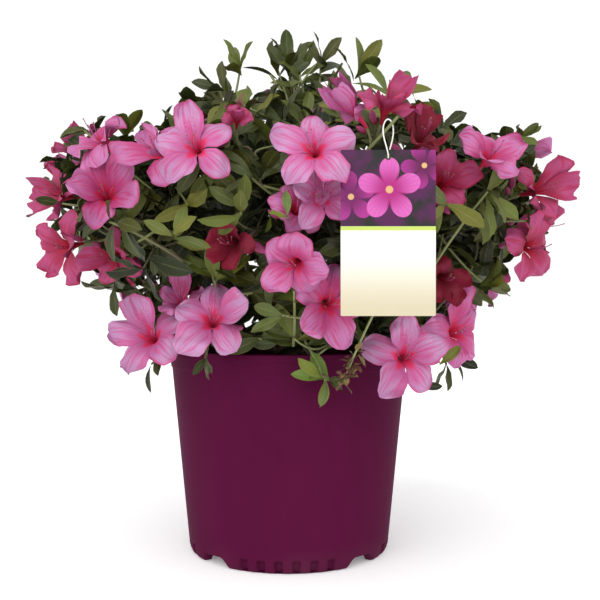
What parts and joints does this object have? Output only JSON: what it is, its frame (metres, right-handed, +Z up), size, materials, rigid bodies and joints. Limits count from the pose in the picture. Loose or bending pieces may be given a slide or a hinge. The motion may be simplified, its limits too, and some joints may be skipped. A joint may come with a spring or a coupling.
{
  "type": "potted azalea shrub",
  "caption": "Rounded azalea shrub in full bloom, with leafy twigs on short boughs, in a tapered plastic nursery pot filled with potting mix, with a blank hanging plant label.",
  "frame": {"origin": "centre of the pad under the pot, on the plane that the pot stands on", "axes": "+Z up the pot's axis, +Y from the front of the plant to its back, +X to the right seen from the front"},
  "size_m": [0.5833, 0.5396, 0.5785],
  "materials": {
    "pot": "satin plum moulded plastic",
    "potting_mix": "matt loose bark and peat",
    "bark": "thin matt bark, olive on young wood",
    "foliage": "satin green leaves, twigs and pink petals",
    "label_card": "smooth printed plastic card",
    "label_string": "thin white elastic cord"
  },
  "bodies": {
    "root": {"pot": "pot", "potting_mix": "potting_mix", "stem": "bark", "bough_lower_1": "bark", "bough_lower_2": "bark", "bough_lower_3": "bark", "bough_lower_4": "bark", "bough_lower_5": "bark", "bough_lower_6": "bark", "bough_middle_1": "bark", "bough_middle_2": "bark", "bough_middle_3": "bark", "bough_middle_4": "bark", "bough_middle_5": "bark", "bough_middle_6": "bark", "bough_middle_7": "bark", "bough_middle_8": "bark", "bough_upper_1": "bark", "bough_upper_2": "bark", "bough_upper_3": "bark", "bough_upper_4": "bark", "bough_upper_5": "bark", "bough_upper_6": "bark", "foliage_lower_1": "foliage", "foliage_lower_2": "foliage", "foliage_lower_3": "foliage", "foliage_lower_4": "foliage", "foliage_lower_5": "foliage", "foliage_lower_6": "foliage", "foliage_middle_1": "foliage", "foliage_middle_2": "foliage", "foliage_middle_3": "foliage", "foliage_middle_4": "foliage", "foliage_middle_5": "foliage", "foliage_middle_6": "foliage", "foliage_middle_7": "foliage", "foliage_middle_8": "foliage", "foliage_upper_1": "foliage", "foliage_upper_2": "foliage", "foliage_upper_3": "foliage", "foliage_upper_4": "foliage", "foliage_upper_5": "foliage", "foliage_upper_6": "foliage", "foliage_top": "foliage", "label_card": "label_card", "label_string": "label_string"}
  },
  "joints": []
}
